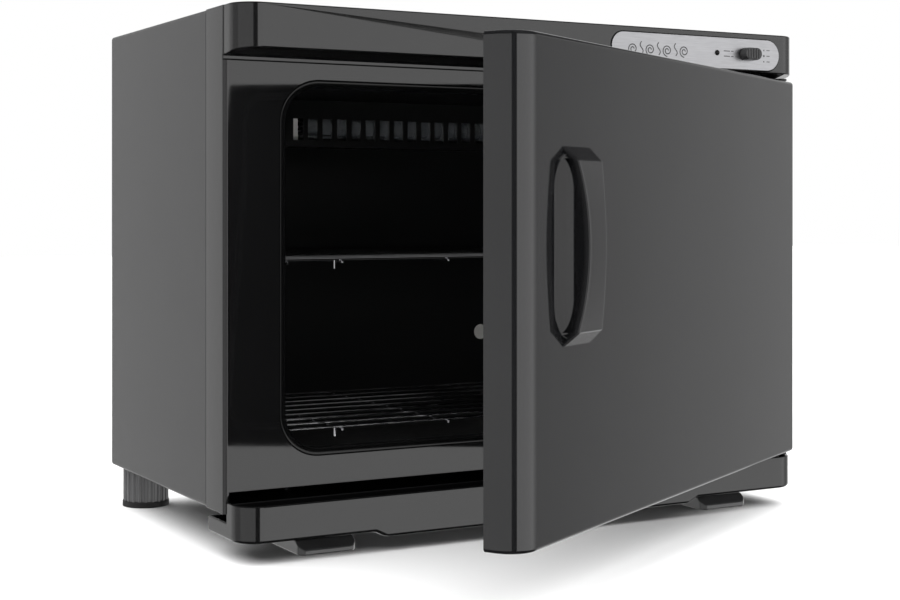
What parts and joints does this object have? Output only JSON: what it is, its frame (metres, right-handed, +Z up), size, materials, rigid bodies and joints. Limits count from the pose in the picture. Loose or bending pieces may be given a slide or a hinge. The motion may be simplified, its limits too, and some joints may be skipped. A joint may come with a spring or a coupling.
{
  "type": "hot towel cabinet",
  "caption": "Counter-top hot towel cabinet: box body, side-hinged door with bow handle, wire racks, drip tray, floor heater, sterilising lamp and rotary selector.",
  "frame": {"origin": "on the counter under the middle of the body, midway between its sides and between the fascia's front plane and the back panel", "axes": "+Z up, +Y from the front into the cabinet, +X towards the hinge side"},
  "size_m": [0.45, 0.4786, 0.3515],
  "materials": {
    "casing_paint": "satin charcoal powder coat",
    "front_plastic": "polished near-black",
    "door_plastic": "polished near-black",
    "panel_black": "satin black",
    "trim_black": "gloss black",
    "liner_coated": "dark coated sheet",
    "foam": "mineral wool",
    "chrome_wire": "bright plated",
    "clip_plastic": "satin",
    "heater": "silicone",
    "ceramic": "unglazed",
    "tube_glass": "clear quartz",
    "bright_sheet": "bright rolled",
    "control_silver": "brushed",
    "knob_black": "fine texture",
    "switch_black": "satin",
    "indicator": "dark lens, unlit",
    "zinc_steel": "zinc plated",
    "foot_plastic": "semi-gloss",
    "pad_rubber": "matt",
    "wire_jacket": "satin",
    "back_paint": "fine-texture powder coat",
    "gasket_rubber": "satin",
    "bush_nylon": "satin"
  },
  "bodies": {
    "cabinet": {"outer_casing": "casing_paint", "back_panel": "back_paint", "bottom_pan": "back_paint", "front_frame": "front_plastic", "top_fascia": "front_plastic", "opening_trim": "trim_black", "inner_liner": "liner_coated", "body_insulation": "foam", "upper_rack": "chrome_wire", "lower_rack": "chrome_wire", "rack_supports": "clip_plastic", "heater_plate": "heater", "thermostat": "ceramic", "thermal_fuse": "zinc_steel", "uv_lamp": "tube_glass", "lamp_holders": "ceramic", "lamp_guard": "liner_coated", "lamp_ballast": "bright_sheet", "terminal_block": "ceramic", "wiring_loom": "wire_jacket", "cable_gland": "switch_black", "control_plate": "control_silver", "switch_body": "switch_black", "indicator_lamp": "indicator", "tray_rails": "zinc_steel", "front_feet": "foot_plastic", "rear_feet": "foot_plastic", "rear_foot_pads": "pad_rubber", "foot_screws": "zinc_steel", "upper_hinge_bracket": "back_paint", "lower_hinge_bracket": "back_paint", "hinge_pins": "zinc_steel", "hinge_screws": "zinc_steel", "magnet_catch": "zinc_steel", "back_screws": "zinc_steel"},
    "door": {"door_shell": "door_plastic", "door_inner_panel": "panel_black", "door_insulation": "foam", "door_gasket": "gasket_rubber", "door_handle": "door_plastic", "hinge_bushes": "bush_nylon", "magnet_striker": "zinc_steel"},
    "tray": {"drip_tray": "front_plastic"},
    "knob": {"selector_knob": "knob_black", "switch_shaft": "zinc_steel"}
  },
  "joints": [
    {"name": "door_swing", "type": "hinge", "parent": "cabinet", "child": "door", "pos_m": [0.2145, -0.1189, 0.1787], "axis": [0, 0, 1], "range_deg": [-30.3, 79.7]},
    {"name": "tray_slide", "type": "slide", "parent": "cabinet", "child": "tray", "axis": [0, -1, 0], "range_m": [0, 0.06]},
    {"name": "selector_turn", "type": "hinge", "parent": "cabinet", "child": "knob", "pos_m": [0.1755, -0.1329, 0.3359], "axis": [0, -1, 0], "range_deg": [-30, 30]}
  ]
}
